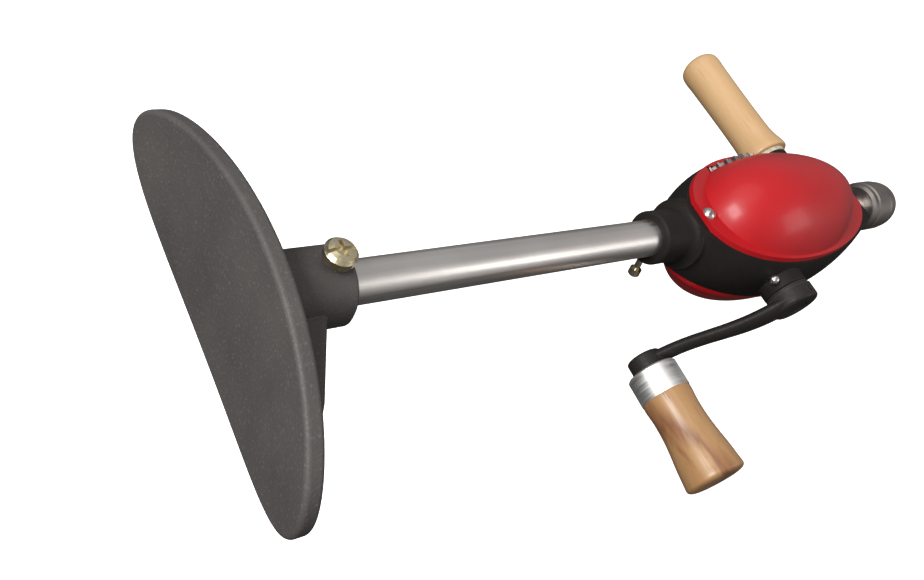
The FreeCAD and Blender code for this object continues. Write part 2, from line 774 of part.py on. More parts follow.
def build_drive_gear():
    """The crank's wheel: bevel teeth towards the spindle, and a toothed rim."""
    height, radius = root_point(GEAR_TEETH, PINION_TEETH)
    lip = inner_share() - S.gear_lip_share.value
    module = S.gear_module.value
    back = S.gear_rim_back.value
    hub_back = S.gear_hub_back.value
    web = hub_back - S.gear_web_thickness.value
    bore = S.axle_radius.value + S.seat_gap.value
    rim = module * (GEAR_TEETH / 2 - 1.25)
    hub = S.gear_hub_radius.value
    blank = spin_profile([
        (height * lip, bore), (hub_back, bore), (hub_back, radius * lip), (back, radius * lip + 1),
        (back, rim), (height + 0.6, rim), (height, radius), (height * lip, radius * lip),
        (web, radius * lip), (web, hub), (height * lip, hub),
    ])
    tip = gear_tip_radius()
    half_root, half_tip = module * 0.86, module * 0.3
    start = height + 0.4
    corners = [vector(rim - 0.4, -half_root, start), vector(tip - 0.15, -half_tip, start),
               vector(tip - 0.15, half_tip, start), vector(rim - 0.4, half_root, start)]
    ridge = Part.Face(Part.makePolygon(corners + corners[:1])).extrude(vector(0, 0, back - start))
    ridges = [turned_copy(ridge, 360 * index / GEAR_TEETH) for index in range(GEAR_TEETH)]
    gear = blank.fuse(bevel_teeth(GEAR_TEETH, PINION_TEETH) + ridges)
    pin = cylinder(vector(-40, 0, gear_pin_y.value), vector(1, 0, 0),
                   S.pin_radius.value + S.seat_gap.value, 80)
    gear = gear.cut(pin.common(spin_profile([(0, 0), (back, 0), (back, hub + 1), (0, hub + 1)])))
    gear.rotate(vector(0, 0, 0), vector(1, 0, 0), -90)
    return gear


def build_pinion():
    """The spindle's bevel pinion, with its gap facing the drive gear's tooth."""
    height, radius = root_point(PINION_TEETH, GEAR_TEETH)
    share = inner_share()
    back = S.pinion_back_ahead.value
    bore = S.spindle_radius.value + S.seat_gap.value
    blank = spin_profile([(height * share, bore), (back, bore), (back, radius), (height, radius),
                          (height * share, radius * share)])
    pinion = blank.fuse(bevel_teeth(PINION_TEETH, GEAR_TEETH))
    pinion.rotate(vector(0, 0, 0), vector(0, 0, 1), 180 / PINION_TEETH)
    pinion.rotate(vector(0, 0, 0), vector(1, 1, 1), 120)
    return pinion.cut(cylinder(vector(pinion_pin_x.value, -40, 0), vector(0, 1, 0),
                               S.pinion_pin_radius.value + S.seat_gap.value, 80))


pinion_pin_x = S.pinion_back_ahead - 1.7
gear_pin_y = S.gear_hub_back - 6.6
place(fixed_shape("drive_gear", build_drive_gear()))
place(fixed_shape("spindle_pinion", build_pinion()))

# ---------------------------------------------------------------- crank axle

boss_end = -S.crank_boss_reach
hub_near = boss_end - 0.1 - S.crank_washer_thickness
hub_far = hub_near - S.crank_hub_depth
hub_middle = hub_near - S.crank_hub_depth / 2
axle_tip = S.axle_bore_depth - 0.4

crank_axle = turned("crank_axle", "Y", rod_profile(hub_far + 0.4, axle_tip, S.axle_radius, 0.5))
for role, x, y in (("XY_Plane", 0, hub_middle), ("YZ_Plane", gear_pin_y, 0)):
    hole = new_sketch(crank_axle, role)
    draw_circle(hole, x, y, S.pin_radius + S.seat_gap)
    pocket(crank_axle, hole, S.axle_radius * 4)
place(crank_axle)

bush_bore = S.axle_radius + S.running_gap
bush_outside = S.axle_radius + S.bush_wall
place(turned("crank_bush", "Y", ring_profile(boss_end, boss_end + S.crank_bush_length, bush_bore,
                                             bush_outside)))
place(turned("gear_bush", "Y", ring_profile(S.gear_hub_back + 0.1, S.axle_bore_depth, bush_bore,
                                            bush_outside)))
place(turned("crank_washer", "Y", ring_profile(hub_near, hub_near + S.crank_washer_thickness,
                                               S.axle_radius + S.seat_gap, S.crank_hub_radius - 0.6)))
place(turned("gear_pin", "X", rod_profile(-S.gear_hub_radius, S.gear_hub_radius, S.pin_radius, 0.3)),
      y=gear_pin_y)


# ---------------------------------------------------------------- crank

def oval_bar(stations):
    """Loft through ovals across X, each (x, y, half height in y, half width in z)."""
    wires = []
    for x, y, half_y, half_z in stations:
        wire = Part.Wire(Part.Ellipse(vector(0, 0, 0), half_z, half_y).toShape())
        wire.rotate(vector(0, 0, 0), vector(0, 1, 0), 90)
        wire.translate(vector(x, y, 0))
        wires.append(wire)
    return Part.makeLoft(wires, True, False)


def build_crank_arm():
    """A cast arm: round hub, stepped oval bar and a round eye for the grip pin."""
    throw = S.crank_throw.value
    near, far = hub_near.value, hub_far.value
    eye_far = near + S.crank_eye_step.value - S.crank_eye_depth.value
    eye_near = near + S.crank_eye_step.value
    thick = S.crank_arm_thickness.value / 2
    waist = S.crank_waist.value
    hub_y, eye_y = (near + far) / 2, (eye_near + eye_far) / 2
    bar = oval_bar([
        (0.0, hub_y, thick + 0.4, S.crank_hub_radius.value - 1.0),
        (0.2 * throw, hub_y + 0.3, thick + 0.4, waist + 3.4),
        (0.42 * throw, hub_y + 0.3 * (eye_y - hub_y), thick + 0.2, waist + 0.9),
        (0.66 * throw, hub_y + 0.75 * (eye_y - hub_y), thick, waist),
        (0.86 * throw, eye_y - 0.2, thick, waist + 0.5),
        (throw, eye_y, thick, S.crank_eye_radius.value - 2.2),
    ])
    hub = cylinder(vector(0, near, 0), vector(0, -1, 0), S.crank_hub_radius.value, near - far)
    hub = hub.makeFillet(1.8, [e for e in hub.Edges if abs(e.CenterOfMass.y - far) < 1e-6])
    eye = cylinder(vector(throw, eye_near, 0), vector(0, -1, 0), S.crank_eye_radius.value,
                   eye_near - eye_far)
    eye = eye.makeFillet(1.4, [e for e in eye.Edges if abs(e.CenterOfMass.y - eye_near) < 1e-6])
    arm = bar.fuse([hub, eye])
    gap = S.seat_gap.value
    arm = arm.cut([
        cylinder(vector(0, near + 20, 0), vector(0, -1, 0), S.axle_radius.value + gap, 60),
        cylinder(vector(throw, eye_near + 20, 0), vector(0, -1, 0), S.grip_pin_radius.value + gap, 60),
        cross_pin_hole(),
    ])
    sink = Part.makeCone(S.grip_pin_radius.value + gap, S.grip_pin_radius.value + gap + 1.6, 1.6,
                         vector(throw, eye_near - 1.6, 0), vector(0, 1, 0))
    return arm.cut(sink)


def cross_pin_hole():
    """The hub's cross hole, upright once the arm is hung at its angle."""
    hole = cylinder(vector(0, hub_middle.value, -30), vector(0, 0, 1),
                    S.pin_radius.value + S.seat_gap.value, 60)
    hole.rotate(vector(0, 0, 0), vector(0, 1, 0), -S.crank_hang.value)
    return hole


def crank_point(along):
    """Where a point along the crank arm is, in X and Z, as sizes."""
    angle = math.radians(S.crank_hang.value)
    return along * math.cos(angle), -along * math.sin(angle)


place(fixed_shape("crank_arm", build_crank_arm()), axis=(0, 1, 0), angle=S.crank_hang.value)
pin_half = S.crank_hub_radius - 0.5
place(turned("crank_pin", "Z", rod_profile(-pin_half, pin_half, S.pin_radius, 0.3)), y=hub_middle)

grip_x, grip_z = crank_point(S.crank_throw)
eye_near = hub_near + S.crank_eye_step
eye_far = eye_near - S.crank_eye_depth
ferrule_top = eye_far - S.grip_washer_thickness - 0.1
ferrule_plate = ferrule_top - S.ferrule_wall
wood_top = ferrule_plate - 0.05
collar_top = ferrule_plate - S.running_gap
collar_low = collar_top - S.grip_pin_collar_height
pin_low = ferrule_plate - S.grip_pin_depth
grip_end = ferrule_top - S.grip_length
ferrule_low = ferrule_top - S.ferrule_length
pin_reach = S.grip_pin_radius

place(turned("grip_pin", "Y", [
    (eye_near - 0.1, 0), (eye_near - 0.1, pin_reach + 1.5), (eye_near - 1.6, pin_reach),
    (collar_top, pin_reach), (collar_top, S.grip_pin_collar_radius),
    (collar_low, S.grip_pin_collar_radius), (collar_low, pin_reach), (pin_low, pin_reach), (pin_low, 0),
]), x=grip_x, z=grip_z)
place(turned("grip_washer", "Y", ring_profile(
    eye_far - S.grip_washer_thickness, eye_far, pin_reach + S.seat_gap, S.crank_eye_radius - 1.2)),
      x=grip_x, z=grip_z)
place(turned("crank_ferrule", "Y", [
    (ferrule_top, pin_reach + S.running_gap), (ferrule_top, S.ferrule_radius - 0.8),
    (ferrule_top - 0.8, S.ferrule_radius), (ferrule_low, S.ferrule_radius),
    (ferrule_low, S.ferrule_radius - S.ferrule_wall), (ferrule_plate, S.ferrule_radius - S.ferrule_wall),
    (ferrule_plate, pin_reach + S.running_gap),
]), x=grip_x, z=grip_z)
wood_in_ferrule = S.ferrule_radius - S.ferrule_wall - S.seat_gap
place(turned("crank_grip", "Y", [
    (wood_top, S.grip_pin_collar_radius + 0.3), (wood_top, wood_in_ferrule),
    (ferrule_low - 0.05, wood_in_ferrule), (ferrule_low - 0.05, S.ferrule_radius - 0.1),
    (ferrule_low - 6.0, S.grip_waist_radius + 0.2), (ferrule_low - 12.0, S.grip_waist_radius),
    (ferrule_low - 19.0, S.grip_waist_radius + 0.5), (ferrule_low - 27.0, S.grip_waist_radius + 1.4),
    (grip_end + 8.0, S.grip_end_radius - 0.4), (grip_end + S.grip_end_round, S.grip_end_radius),
    (grip_end + 0.5, S.grip_end_radius - 1.0), (grip_end, S.grip_end_radius - S.grip_end_round),
    (grip_end - 0.4, 0), (pin_low - 0.5, 0), (pin_low - 0.5, pin_reach + 0.1),
    (collar_low - 0.3, pin_reach + 0.1), (collar_low - 0.3, S.grip_pin_collar_radius + 0.3),
]), x=grip_x, z=grip_z)

# ---------------------------------------------------------------- side handle

washer_top = S.handle_boss_reach + 2.0
handle_top = washer_top + S.handle_length
stud_top = washer_top + S.handle_length * 0.72
place(turned("side_handle_washer", "Y", ring_profile(
    S.handle_boss_reach, washer_top, S.handle_stud_radius + S.seat_gap, S.handle_boss_radius)),
      x=S.handle_ahead)
place(turned("side_handle_stud", "Y", rod_profile(S.handle_boss_reach - 15.0, stud_top,
                                                  S.handle_stud_radius, 0.6)), x=S.handle_ahead)
place(turned("side_handle_grip", "Y", [
    (washer_top, S.handle_stud_radius + S.seat_gap), (washer_top, S.handle_base_radius - 1.0),
    (washer_top + 1.0, S.handle_base_radius), (washer_top + 4.0, S.handle_base_radius - 0.2),
    (washer_top + 10.0, S.handle_radius + 0.5), (washer_top + 18.0, S.handle_radius),
    (handle_top - 22.0, S.handle_radius + 0.1), (handle_top - 5.0, S.handle_end_radius),
    (handle_top - 2.4, S.handle_end_radius - 0.5), (handle_top - 0.8, S.handle_end_radius - 2.4),
    (handle_top, S.handle_end_radius - 6.0), (handle_top, 0), (stud_top + 0.5, 0),
    (stud_top + 0.5, S.handle_stud_radius + S.seat_gap),
]), x=S.handle_ahead)

# ---------------------------------------------------------------- spindle

chuck_rear = S.axle_to_mouth - S.chuck_length
shoulder_start = S.nose_ahead + 0.3
shoulder_end = shoulder_start + S.spindle_shoulder_length
thread_end = chuck_rear + S.chuck_thread_length
spindle = turned("spindle", "X", [
    (S.spindle_rear_ahead, 0), (S.spindle_rear_ahead, S.spindle_radius - 0.4),
    (S.spindle_rear_ahead + 0.4, S.spindle_radius), (shoulder_start, S.spindle_radius),
    (shoulder_start, S.spindle_shoulder_radius), (shoulder_end, S.spindle_shoulder_radius),
    (shoulder_end, S.spindle_neck_radius), (chuck_rear, S.spindle_neck_radius),
    (chuck_rear, S.spindle_radius), (thread_end, S.spindle_radius), (thread_end, 0),
])
pin_hole = new_sketch(spindle, "XZ_Plane")
draw_circle(pin_hole, pinion_pin_x, 0, S.pinion_pin_radius + S.seat_gap)
pocket(spindle, pin_hole, S.spindle_radius * 4)
place(spindle)
place(turned("pinion_pin", "Y", rod_profile(Size.of(-10.4), Size.of(10.4), S.pinion_pin_radius, 0.2)),
      x=pinion_pin_x)

spindle_bush_bore = S.spindle_radius + S.running_gap
spindle_bush_outside = S.spindle_radius + S.bush_wall
place(turned("rear_spindle_bush", "X", ring_profile(
    S.web_back_ahead, S.web_back_ahead + S.web_thickness, spindle_bush_bore, spindle_bush_outside)))
place(turned("front_spindle_bush", "X", ring_profile(
    S.nose_ahead - S.front_bush_length, S.nose_ahead, spindle_bush_bore, spindle_bush_outside)))

ball_middle = S.pinion_back_ahead + (S.web_back_ahead - S.pinion_back_ahead) / 2
race_bore = S.spindle_radius + 0.3
moving_race = ring_profile(S.pinion_back_ahead, ball_middle - S.thrust_ball_radius,
                           S.spindle_radius + S.seat_gap, S.thrust_race_radius)
place(turned("thrust_race_turning", "X", moving_race))
place(turned("thrust_race_fixed", "X", ring_profile(
    ball_middle + S.thrust_ball_radius + 0.05, S.web_back_ahead, race_bore, S.thrust_race_radius)))


def build_thrust_balls():
    balls = []
    for index in range(BALL_COUNT):
        angle = 2 * math.pi * index / BALL_COUNT
        circle = S.thrust_ball_circle.value
        centre = vector(ball_middle.value, circle * math.cos(angle), circle * math.sin(angle))
        balls.append(Part.makeSphere(S.thrust_ball_radius.value, centre))
    return Part.makeCompound(balls)


place(fixed_shape("thrust_balls", build_thrust_balls()))

# ---------------------------------------------------------------- chuck

collar_end = chuck_rear + S.chuck_collar_length
nose_start = S.axle_to_mouth - S.chuck_nose_length
sleeve_bore = S.chuck_core_radius + S.running_gap
place(turned("chuck_collar", "X", [
    (chuck_rear, S.chuck_spigot_radius + S.seat_gap), (chuck_rear, S.chuck_collar_radius - 1.4),
    (chuck_rear + 1.4, S.chuck_collar_radius), (collar_end, S.chuck_collar_radius),
    (collar_end, S.chuck_spigot_radius + S.seat_gap),
]))
place(turned("chuck_sleeve", "X", [
    (collar_end + 0.1, sleeve_bore), (collar_end + 0.1, S.chuck_radius - 0.8),
    (collar_end + 0.9, S.chuck_radius), (nose_start - 1.4, S.chuck_radius),
    (nose_start - 0.4, S.chuck_radius - 1.0), (nose_start - 0.4, sleeve_bore),
]))


def jaw_axis_start():
    """Where a jaw's axis crosses the mouth, for the jaw that faces +Y."""
    return vector(S.axle_to_mouth.value, S.jaw_offset.value, 0)


def jaw_direction():
    lean = math.radians(S.jaw_lean.value)
    return vector(-math.cos(lean), math.sin(lean), 0)


def about_spindle(shape, index):
    copy = shape.copy()
    copy.rotate(vector(0, 0, 0), vector(1, 0, 0), 90 + 360 * index / JAW_COUNT)
    return copy


def build_chuck_body():
    """The chuck's core: rear spigot, core, rounded nose, and three leaning bores."""
    mouth = S.axle_to_mouth.value
    core = S.chuck_core_radius.value
    spigot = S.chuck_spigot_radius.value
    rear, middle, nose = chuck_rear.value, collar_end.value, nose_start.value
    shoulder = S.chuck_radius.value - 0.6
    tip = S.chuck_nose_radius.value
    points = [(rear, 0), (rear, spigot), (middle, spigot), (middle, core), (nose - 0.3, core),
              (nose - 0.3, shoulder), (nose + 1.0, shoulder + 0.2)]
    corners = [vector(x, r, 0) for x, r in points]
    arc_middle = vector(nose + 0.66 * (mouth - nose), tip + 0.62 * (shoulder - tip), 0)
    front = vector(mouth - 0.6, tip, 0)
    edges = [Part.LineSegment(a, b).toShape() for a, b in zip(corners, corners[1:])]
    edges.append(Part.Arc(corners[-1], arc_middle, front).toShape())
    rest = [front, vector(mouth, tip - 0.6, 0), vector(mouth, 0, 0), vector(rear, 0, 0)]
    edges += [Part.LineSegment(a, b).toShape() for a, b in zip(rest, rest[1:])]
    body = Part.Face(Part.Wire(edges)).revolve(vector(0, 0, 0), vector(1, 0, 0), 360)

    start, direction = jaw_axis_start(), jaw_direction()
    depth = S.jaw_length.value + S.jaw_back_travel.value + 1.0
    bore = cylinder(start - direction * 4, direction, S.jaw_radius.value + S.jaw_gap.value, depth + 4)
    bores = [about_spindle(bore, index) for index in range(JAW_COUNT)]
    thread = cylinder(vector(rear - 1, 0, 0), vector(1, 0, 0), S.spindle_radius.value + S.seat_gap.value,
                      S.chuck_thread_length.value + 1.5)
    bit_room = cylinder(vector(mouth + 1, 0, 0), vector(-1, 0, 0), S.chuck_bit_bore_radius.value,
                        S.chuck_bit_bore_depth.value + 1)
    return body.cut(bores + [thread, bit_room])


def build_jaw(index):
    """A round jaw, cut to a wedge towards the spindle axis and to the bit's round."""
    mouth = S.axle_to_mouth.value
    length = S.jaw_length.value
    start, direction = jaw_axis_start(), jaw_direction()
    rod = cylinder(start - direction * 3, direction, S.jaw_radius.value, length + 3)
    edge = S.jaw_closing.value + 0.15
    reach = 30.0
    slope = reach / math.tan(math.radians(180 / JAW_COUNT))
    wedge_corners = [vector(mouth - 40, edge, 0), vector(mouth - 40, edge + slope, -reach),
                     vector(mouth - 40, edge + slope, reach), vector(mouth - 40, edge, 0)]
    wedge = Part.Face(Part.makePolygon(wedge_corners)).extrude(vector(40, 0, 0))
    bit = cylinder(vector(mouth - 40, 0, 0), vector(1, 0, 0), S.jaw_grip_radius.value, 80)
    return about_spindle(rod.common(wedge).cut(bit), index)


place(fixed_shape("chuck_body", build_chuck_body()))
for index in range(JAW_COUNT):
    place(fixed_shape(f"chuck_jaw_{index + 1}", build_jaw(index)))

# ---------------------------------------------------------------- checks and files

doc.recompute()
for obj in doc.Objects:
    if "Invalid" in obj.State or "Error" in obj.State:
        raise RuntimeError(f"{obj.Label} failed to build")
for piece in pieces:
    if piece.Shape.isNull() or not piece.Shape.isValid() or not piece.Shape.Solids:
        raise RuntimeError(f"{piece.Label} has no sound solid")

os.makedirs("parts", exist_ok=True)
for piece in pieces:
    piece.Shape.exportStep(os.path.join("parts", piece.Label + ".step"))
    solids = len(piece.Shape.Solids)
    print(f"{piece.Label}: {solids} solid(s), {piece.Shape.Volume:.0f} cubic mm")
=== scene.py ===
"""A hand-cranked breast drill on a pale floor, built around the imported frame."""

import json
import math

import bmesh
import bpy
from mathutils import Matrix, Vector


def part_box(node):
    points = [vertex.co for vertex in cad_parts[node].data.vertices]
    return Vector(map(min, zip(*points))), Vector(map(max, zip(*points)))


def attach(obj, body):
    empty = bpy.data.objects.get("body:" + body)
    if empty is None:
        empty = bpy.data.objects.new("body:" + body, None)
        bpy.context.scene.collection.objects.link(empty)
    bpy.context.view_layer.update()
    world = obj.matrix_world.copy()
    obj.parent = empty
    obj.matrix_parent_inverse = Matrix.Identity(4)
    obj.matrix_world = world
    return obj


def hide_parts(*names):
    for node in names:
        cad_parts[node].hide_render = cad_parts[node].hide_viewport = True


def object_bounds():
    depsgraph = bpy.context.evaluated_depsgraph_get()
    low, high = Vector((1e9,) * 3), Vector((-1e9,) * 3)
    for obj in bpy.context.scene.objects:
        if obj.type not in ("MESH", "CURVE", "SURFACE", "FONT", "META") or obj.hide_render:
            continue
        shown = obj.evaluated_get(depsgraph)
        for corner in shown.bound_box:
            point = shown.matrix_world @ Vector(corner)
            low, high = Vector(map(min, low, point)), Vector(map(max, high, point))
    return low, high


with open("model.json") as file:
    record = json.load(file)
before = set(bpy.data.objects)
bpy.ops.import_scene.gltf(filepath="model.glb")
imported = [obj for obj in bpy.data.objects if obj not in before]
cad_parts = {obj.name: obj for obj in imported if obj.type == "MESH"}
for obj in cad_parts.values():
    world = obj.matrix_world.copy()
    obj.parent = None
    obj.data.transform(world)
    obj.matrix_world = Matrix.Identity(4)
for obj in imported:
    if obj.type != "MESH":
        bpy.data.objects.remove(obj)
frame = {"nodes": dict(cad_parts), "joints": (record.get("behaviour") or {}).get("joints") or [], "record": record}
cad_low, cad_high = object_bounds()

TURNS = 96            # faces round each turned piece
STEPS = 6             # faces along each stretch of its outline
FLOOR_DROP = 0.12     # the floor below the lowest point, so that its shadow is out of sight
WORN_EDGE = 0.0011    # how far the wear reaches from an edge


# ---------------------------------------------------------------- node helpers

def set_range(node, low, high, out_low, out_high):
    """Fill in a Map Range node."""
    for key, number in (("From Min", low), ("From Max", high),
                        ("To Min", out_low), ("To Max", out_high)):
        node.inputs[key].default_value = number


class Finish:
    """A Principled material under construction, with short ways to add nodes."""

    def __init__(self, name, roughness, metallic=0.0, specular=0.5, coat=0.0, coat_roughness=0.1):
        self.material = bpy.data.materials.new(name)
        self.material.use_nodes = True
        self.tree = self.material.node_tree
        self.shader = self.tree.nodes["Principled BSDF"]
        self.shader.inputs["Roughness"].default_value = roughness
        self.shader.inputs["Metallic"].default_value = metallic
        self.shader.inputs["Specular IOR Level"].default_value = specular
        self.shader.inputs["Coat Weight"].default_value = coat
        self.shader.inputs["Coat Roughness"].default_value = coat_roughness
        self.place = self.add("ShaderNodeTexCoord").outputs["Object"]

    def add(self, kind, **settings):
        node = self.tree.nodes.new(kind)
        for key, value in settings.items():
            setattr(node, key, value)
        return node

    def link(self, source, target):
        self.tree.links.new(source, target)

    def stretched(self, scale):
        """The object's own coordinates, stretched."""
        mapping = self.add("ShaderNodeMapping")
        mapping.inputs["Scale"].default_value = scale
        self.link(self.place, mapping.inputs["Vector"])
        return mapping.outputs["Vector"]

    def noise(self, scale, detail=4.0, roughness=0.55, where=None, distortion=0.0):
        node = self.add("ShaderNodeTexNoise")
        node.inputs["Scale"].default_value = scale
        node.inputs["Detail"].default_value = detail
        node.inputs["Roughness"].default_value = roughness
        node.inputs["Distortion"].default_value = distortion
        self.link(where or self.place, node.inputs["Vector"])
        return node.outputs["Fac"]

    def ramp(self, value, low, high, out_low=0.0, out_high=1.0):
        node = self.add("ShaderNodeMapRange")
        set_range(node, low, high, out_low, out_high)
        self.link(value, node.inputs["Value"])
        return node.outputs["Result"]

    def math(self, operation, first, second):
        node = self.add("ShaderNodeMath", operation=operation)
        for socket, value in zip(node.inputs, (first, second)):
            if isinstance(value, (int, float)):
                socket.default_value = value
            else:
                self.link(value, socket)
        return node.outputs["Value"]

    def mix(self, share, first, second):
        """A blend of two colours, each a tuple or a socket."""
        node = self.add("ShaderNodeMix", data_type="RGBA")
        self.link(share, node.inputs["Factor"])
        for key, value in (("A", first), ("B", second)):
            socket = next(s for s in node.inputs if s.name == key and s.type == "RGBA")
            if isinstance(value, tuple):
                socket.default_value = (*value, 1.0)
            else:
                self.link(value, socket)
        return next(s for s in node.outputs if s.type == "RGBA")

    def edges(self, radius):
        """1 on rounded-off edges and 0 on flat faces."""
        bevel = self.add("ShaderNodeBevel", samples=6)
        bevel.inputs["Radius"].default_value = radius
        normal = self.add("ShaderNodeNewGeometry").outputs["Normal"]
        dot = self.add("ShaderNodeVectorMath", operation="DOT_PRODUCT")
        self.link(bevel.outputs["Normal"], dot.inputs[0])
        self.link(normal, dot.inputs[1])
        return self.ramp(self.math("SUBTRACT", 1.0, dot.outputs["Value"]), 0.02, 0.25)

    def colour(self, socket):
        self.link(socket, self.shader.inputs["Base Color"])

    def roughness(self, socket):
        self.link(socket, self.shader.inputs["Roughness"])

    def bump(self, height, distance, strength=1.0):
        node = self.add("ShaderNodeBump")
        node.inputs["Distance"].default_value = distance
        node.inputs["Strength"].default_value = strength
        self.link(height, node.inputs["Height"])
        self.link(node.outputs["Normal"], self.shader.inputs["Normal"])


def coated_iron(name, dark, light, worn, grain=1400.0, depth=0.00008, specular=0.2, flecks=0.12,
                rubbed=0.5):
    """Baked black coating: fine grains, slow blotches and worn edges."""
    finish = Finish(name, roughness=0.55, specular=specular)
    grains = finish.noise(grain, detail=3.0)
    blotches = finish.noise(26.0, detail=5.0)
    tone = finish.mix(finish.ramp(blotches, 0.3, 0.7), dark, light)
    speck = finish.ramp(grains, 0.58, 0.74, 0.0, flecks)
    tone = finish.mix(speck, tone, worn)
    patchy = finish.ramp(finish.noise(110.0), 0.38, 0.62, 0.25 * rubbed, rubbed)
    rub = finish.math("MULTIPLY", finish.edges(WORN_EDGE), patchy)
    finish.colour(finish.mix(rub, tone, worn))
    finish.roughness(finish.ramp(grains, 0.3, 0.7, 0.42, 0.66))
    finish.bump(finish.math("ADD", grains, finish.math("MULTIPLY", blotches, 0.6)), depth)
    return finish.material


def gloss_paint(name, deep, bright):
    """Sprayed gloss enamel with a faint orange peel."""
    finish = Finish(name, roughness=0.42, specular=0.3, coat=0.25, coat_roughness=0.2)
    clouds = finish.noise(18.0, detail=3.0)
    finish.colour(finish.mix(finish.ramp(clouds, 0.35, 0.65), deep, bright))
    finish.roughness(finish.ramp(clouds, 0.3, 0.7, 0.38, 0.48))
    finish.bump(finish.noise(240.0, detail=1.0), 0.00001)
    return finish.material


def metal(name, tone, shade, roughness, stretch=(1.0, 1.0, 1.0), scale=900.0, depth=0.00004,
          stain=None):
    """Bare or plated metal with fine tool lines, long where the stretch is small."""
    finish = Finish(name, roughness=roughness, metallic=1.0)
    lines = finish.noise(scale, detail=5.0, where=finish.stretched(stretch))
    clouds = finish.noise(40.0, detail=4.0)
    colour = finish.mix(finish.ramp(clouds, 0.35, 0.7), tone, shade)
    if stain:
        patch = finish.ramp(finish.noise(95.0, detail=6.0, roughness=0.65), 0.52, 0.72, 0.0, 0.7)
        colour = finish.mix(patch, colour, stain)
    finish.colour(colour)
    finish.roughness(finish.ramp(lines, 0.3, 0.7, roughness * 0.75, roughness * 1.3))
    finish.bump(lines, depth)
    return finish.material


def turned_wood(name, light, mid, dark, streak=None):
    """Varnished wood with its grain along Y, and pores as short dark dashes."""
    finish = Finish(name, roughness=0.42, specular=0.4, coat=0.25, coat_roughness=0.25)
    along = finish.stretched((1.0, 0.12, 1.0))
    rings = finish.noise(95.0, detail=5.0, where=along, distortion=1.2)
    fibres = finish.noise(1300.0, detail=3.0, where=finish.stretched((1.0, 0.05, 1.0)))
    slow = finish.noise(22.0, detail=2.0)
    tone = finish.mix(finish.ramp(rings, 0.32, 0.68), light, mid)
    tone = finish.mix(finish.ramp(slow, 0.45, 0.75, 0.0, 0.5), tone, light)
    pores = finish.ramp(fibres, 0.6, 0.72, 0.0, 0.5)
    tone = finish.mix(pores, tone, dark)
    if streak:
        centre, direction, width = streak
        offset = finish.add("ShaderNodeVectorMath", operation="SUBTRACT")
        offset.inputs[1].default_value = centre
        finish.link(finish.place, offset.inputs[0])
        dot = finish.add("ShaderNodeVectorMath", operation="DOT_PRODUCT")
        dot.inputs[1].default_value = direction
        finish.link(offset.outputs["Vector"], dot.inputs[0])
        wander = finish.math("MULTIPLY", finish.math("SUBTRACT", rings, 0.5), 0.02)
        gap = finish.math("ABSOLUTE", finish.math("ADD", dot.outputs["Value"], wander), 0.0)
        tone = finish.mix(finish.ramp(gap, 0.0, width, 0.75, 0.0), tone, dark)
    finish.colour(tone)
    finish.roughness(finish.ramp(fibres, 0.3, 0.7, 0.34, 0.52))
    finish.bump(finish.math("SUBTRACT", rings, finish.math("MULTIPLY", pores, 0.8)), 0.0001)
    return finish.material


def soft_washer(name, tone, shade):
    """Pressed fibre: matt, with short pale flecks."""
    finish = Finish(name, roughness=0.8, specular=0.25)
    flecks = finish.noise(700.0, detail=4.0, where=finish.stretched((1.0, 0.4, 1.0)))
    finish.colour(finish.mix(finish.ramp(flecks, 0.4, 0.65), tone, shade))
    finish.bump(flecks, 0.00008)
    return finish.material


# ---------------------------------------------------------------- finishes

grip_low, grip_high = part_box("crank_grip")
grip_middle = (grip_low + grip_high) / 2
ferrule_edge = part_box("crank_ferrule")[0].y
streak_normal = tuple(Vector((0.876, 0.42, 0.482)).normalized())
streak_foot = (grip_middle.x - 0.0123, ferrule_edge, grip_middle.z - 0.0067)

FINISHES = {
    "black_coat": coated_iron("black_coat", (0.010, 0.0085, 0.008), (0.018, 0.0155, 0.014),
                              (0.05, 0.047, 0.044), specular=0.1),
    "red_paint": gloss_paint("red_paint", (0.34, 0.003, 0.006), (0.42, 0.006, 0.010)),
    "plated_tube": metal("plated_tube", (0.72, 0.69, 0.67), (0.66, 0.63, 0.61), 0.38,
                         stretch=(0.015, 1.0, 1.0), scale=500.0, depth=0.00001),
    "yellow_zinc": metal("yellow_zinc", (0.72, 0.63, 0.40), (0.60, 0.54, 0.42), 0.32,
                         stain=(0.32, 0.27, 0.20)),
    "bright_steel": metal("bright_steel", (0.66, 0.65, 0.63), (0.52, 0.51, 0.5), 0.28,
                          stain=(0.30, 0.27, 0.24)),
    "gear_iron": metal("gear_iron", (0.30, 0.29, 0.28), (0.20, 0.19, 0.19), 0.42, depth=0.0001),
    "bronze": metal("bronze", (0.52, 0.36, 0.16), (0.40, 0.27, 0.12), 0.35),
    "ferrule_aluminium": metal("ferrule_aluminium", (0.88, 0.87, 0.85), (0.82, 0.81, 0.80), 0.45,
                               stretch=(0.05, 1.0, 0.05), scale=900.0, depth=0.00001),
    "cream_washer": soft_washer("cream_washer", (0.58, 0.52, 0.40), (0.44, 0.38, 0.28)),
    "grip_wood": turned_wood("grip_wood", (0.42, 0.25, 0.115), (0.32, 0.16, 0.062),
                             (0.17, 0.055, 0.026),
                             streak=(streak_foot, streak_normal, 0.005)),
    "handle_wood": turned_wood("handle_wood", (0.60, 0.39, 0.20), (0.54, 0.33, 0.155),
                               (0.42, 0.235, 0.10)),
    "chuck_steel": metal("chuck_steel", (0.27, 0.245, 0.23), (0.19, 0.165, 0.15), 0.42,
                         stretch=(1.0, 0.1, 0.1), scale=900.0, depth=0.00002,
                         stain=(0.16, 0.135, 0.125)),
}
PLATE = coated_iron("plate_coat", (0.052, 0.047, 0.046), (0.073, 0.067, 0.064), (0.24, 0.23, 0.22),
                    grain=950.0, depth=0.00015, specular=0.25, flecks=0.2, rubbed=0.8)
